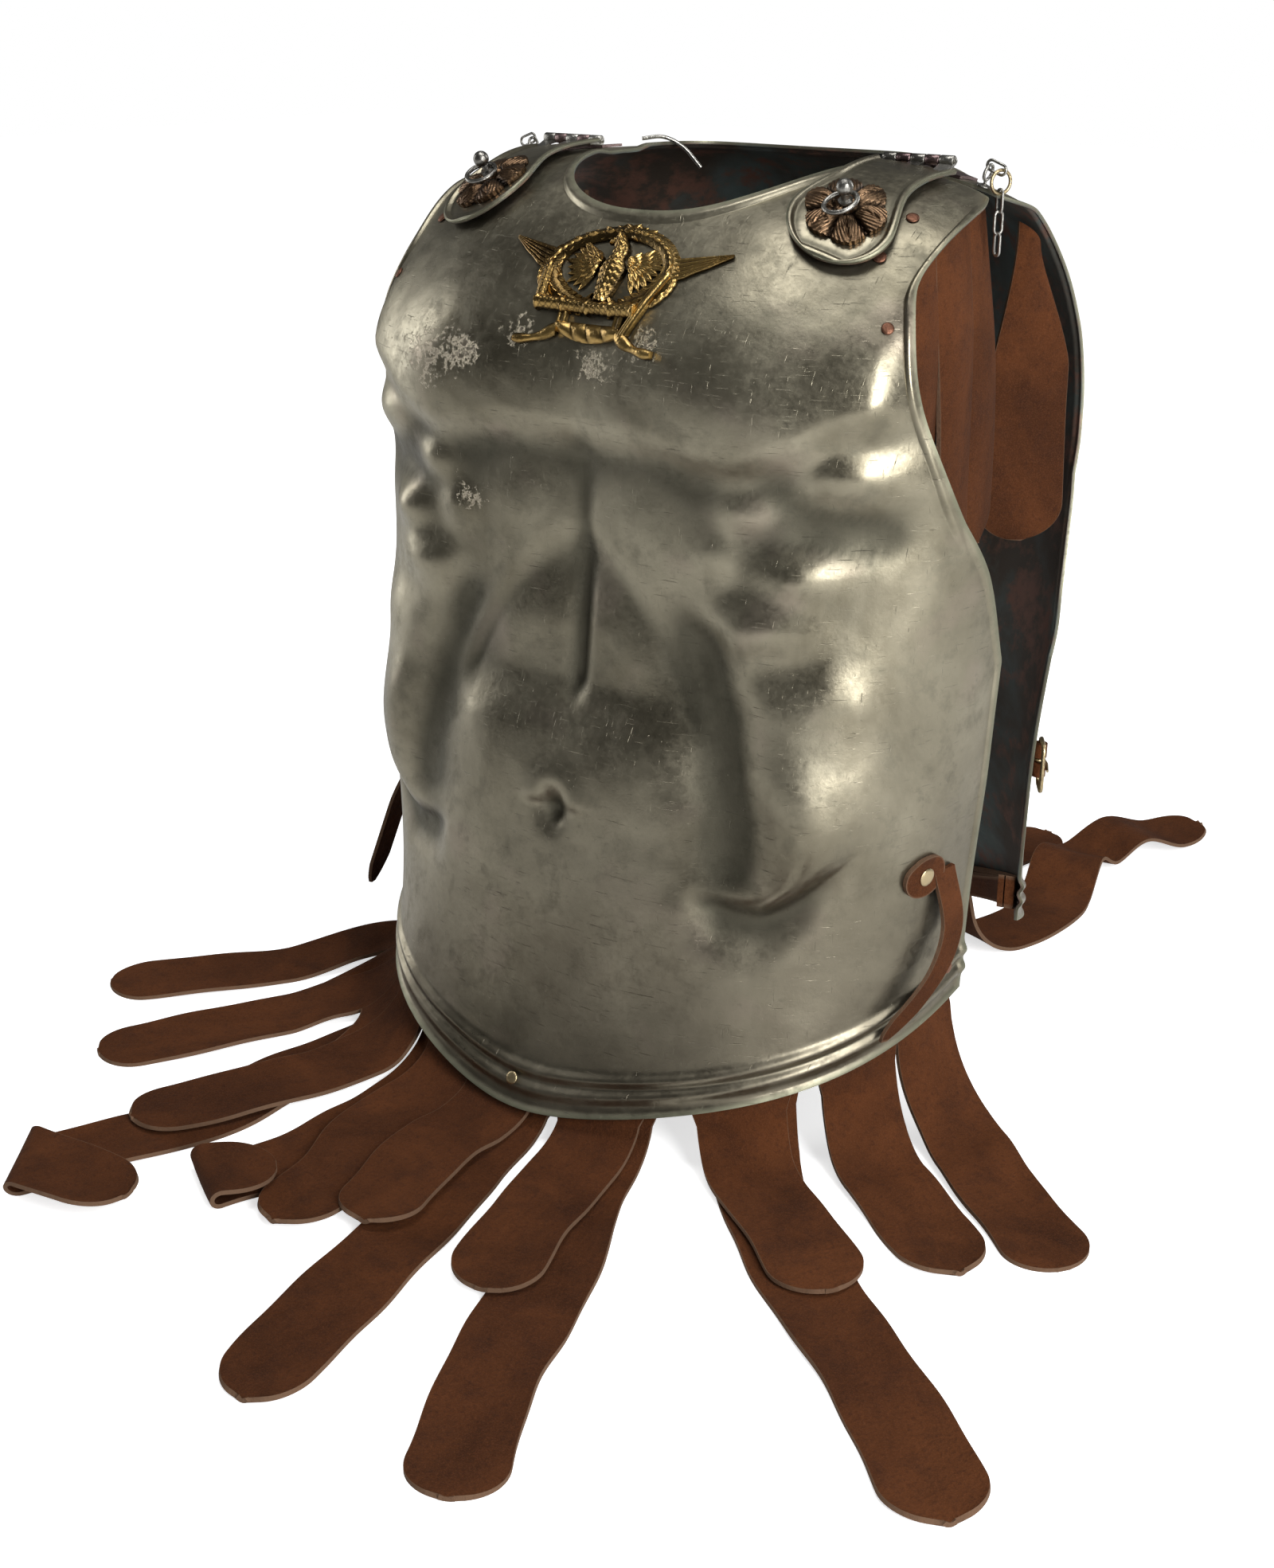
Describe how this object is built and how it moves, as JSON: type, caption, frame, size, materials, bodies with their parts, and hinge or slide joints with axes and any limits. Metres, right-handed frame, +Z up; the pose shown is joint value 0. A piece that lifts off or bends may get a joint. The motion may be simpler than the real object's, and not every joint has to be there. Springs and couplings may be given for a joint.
{
  "type": "cuirass",
  "caption": "Muscle cuirass: hinged breastplate and backplate with shoulder plates, gilt chest emblem and layered leather strap skirts spread on the floor",
  "frame": {"origin": "bottom centre of the bounding box, on the floor", "axes": "+Z up, chest faces -Y, +X is the wearer's left; lengths in metres"},
  "size_m": [0.734, 0.974, 0.5592],
  "materials": {
    "silver": "tarnished, hand-worn plate with pinkish worn patches and pale edges",
    "steel": "dull grey wire and hinge metal",
    "gilt": "antique gilt with dark recesses",
    "brass": "worn brass",
    "copper": "brown copper rivet heads",
    "leather": "red-brown suede with pale raw cut edges"
  },
  "bodies": {
    "breast": {"breastplate": "silver", "chest_emblem": "gilt", "front_skirt_short": "leather", "front_skirt_long": "leather", "rim_rivet": "brass", "arm_straps_right": "leather", "arm_straps_left": "leather", "side_strap_right": "leather", "side_strap_left": "leather", "side_strap_rivet_right": "brass", "side_strap_rivet_left": "brass", "arm_rivet_upper_right": "copper", "arm_rivet_upper_left": "copper", "arm_rivet_middle_right": "copper", "arm_rivet_middle_left": "copper", "arm_rivet_lower_right": "copper", "arm_rivet_lower_left": "copper", "low_rivet_right": "copper", "low_rivet_left": "copper"},
    "back": {"backplate": "silver", "back_skirt_short": "leather", "back_skirt_long": "leather", "neck_pin": "steel", "hinge_leaf_right": "steel", "hinge_leaf_left": "steel", "hinge_pin_right": "steel", "hinge_pin_left": "steel", "arm_strap_wide_right": "leather", "arm_strap_wide_left": "leather", "buckle_tab_right": "leather", "buckle_tab_left": "leather", "buckle_rivet_right": "brass", "buckle_rivet_left": "brass", "eyelet_right": "steel", "eyelet_left": "steel"},
    "shoulder_right": {"shoulder_plate_right": "silver", "rosette_right": "gilt", "rosette_stud_right": "steel"},
    "pull_ring_right": {"rosette_ring_right": "steel"},
    "wire_link_right": {"link_right": "steel"},
    "frame_right": {"buckle_frame_right": "brass"},
    "prong_right": {"buckle_prong_right": "brass"},
    "shoulder_left": {"shoulder_plate_left": "silver", "rosette_left": "gilt", "rosette_stud_left": "steel"},
    "pull_ring_left": {"rosette_ring_left": "steel"},
    "wire_link_left": {"link_left": "steel"},
    "frame_left": {"buckle_frame_left": "brass"},
    "prong_left": {"buckle_prong_left": "brass"},
    "big_ring": {"shoulder_ring": "brass"},
    "chain": {"shoulder_chain": "steel"}
  },
  "joints": [
    {"name": "back_swing", "type": "hinge", "parent": "breast", "child": "back", "pos_m": [-0.01716, 0.00804, 0.5562], "axis": [1, 0, 0], "range_deg": [0, 60]},
    {"name": "shoulder_lift_right", "type": "hinge", "parent": "breast", "child": "shoulder_right", "pos_m": [-0.13967, 0.00804, 0.5562], "axis": [-1, 0, 0], "range_deg": [0, 95]},
    {"name": "pull_ring_lift_right", "type": "hinge", "parent": "shoulder_right", "child": "pull_ring_right", "pos_m": [-0.13825, -0.07304, 0.5468], "axis": [-1, 0, 0], "range_deg": [0, 40]},
    {"name": "link_lift_right", "type": "hinge", "parent": "back", "child": "wire_link_right", "pos_m": [-0.17917, 0.0157, 0.55467], "axis": [0, 1, 0], "range_deg": [0, 40]},
    {"name": "buckle_swing_right", "type": "hinge", "parent": "back", "child": "frame_right", "pos_m": [-0.20761, 0.07735, 0.19593], "axis": [0, 0, -1], "range_deg": [0, 70]},
    {"name": "prong_swing_right", "type": "hinge", "parent": "frame_right", "child": "prong_right", "pos_m": [-0.20761, 0.07735, 0.19593], "axis": [0, 0, -1], "range_deg": [0, 48]},
    {"name": "shoulder_lift_left", "type": "hinge", "parent": "breast", "child": "shoulder_left", "pos_m": [0.10533, 0.00804, 0.5562], "axis": [-1, 0, 0], "range_deg": [0, 95]},
    {"name": "pull_ring_lift_left", "type": "hinge", "parent": "shoulder_left", "child": "pull_ring_left", "pos_m": [0.11049, -0.07302, 0.54529], "axis": [-1, 0, 0], "range_deg": [0, 40]},
    {"name": "link_lift_left", "type": "hinge", "parent": "back", "child": "wire_link_left", "pos_m": [0.14484, 0.0157, 0.55467], "axis": [0, -1, 0], "range_deg": [0, 40]},
    {"name": "buckle_swing_left", "type": "hinge", "parent": "back", "child": "frame_left", "pos_m": [0.17328, 0.07735, 0.19593], "axis": [0, 0, 1], "range_deg": [0, 70]},
    {"name": "prong_swing_left", "type": "hinge", "parent": "frame_left", "child": "prong_left", "pos_m": [0.17328, 0.07735, 0.19593], "axis": [0, 0, 1], "range_deg": [0, 48]},
    {"name": "ring_swing", "type": "hinge", "parent": "wire_link_left", "child": "big_ring", "pos_m": [0.15214, 0.016, 0.55209], "axis": [0.4512, 0.8924, 0], "range_deg": [-15, 6]},
    {"name": "chain_swing", "type": "hinge", "parent": "big_ring", "child": "chain", "pos_m": [0.15214, 0.016, 0.54001], "axis": [0.4512, 0.8924, 0], "range_deg": [-15, 15]}
  ]
}
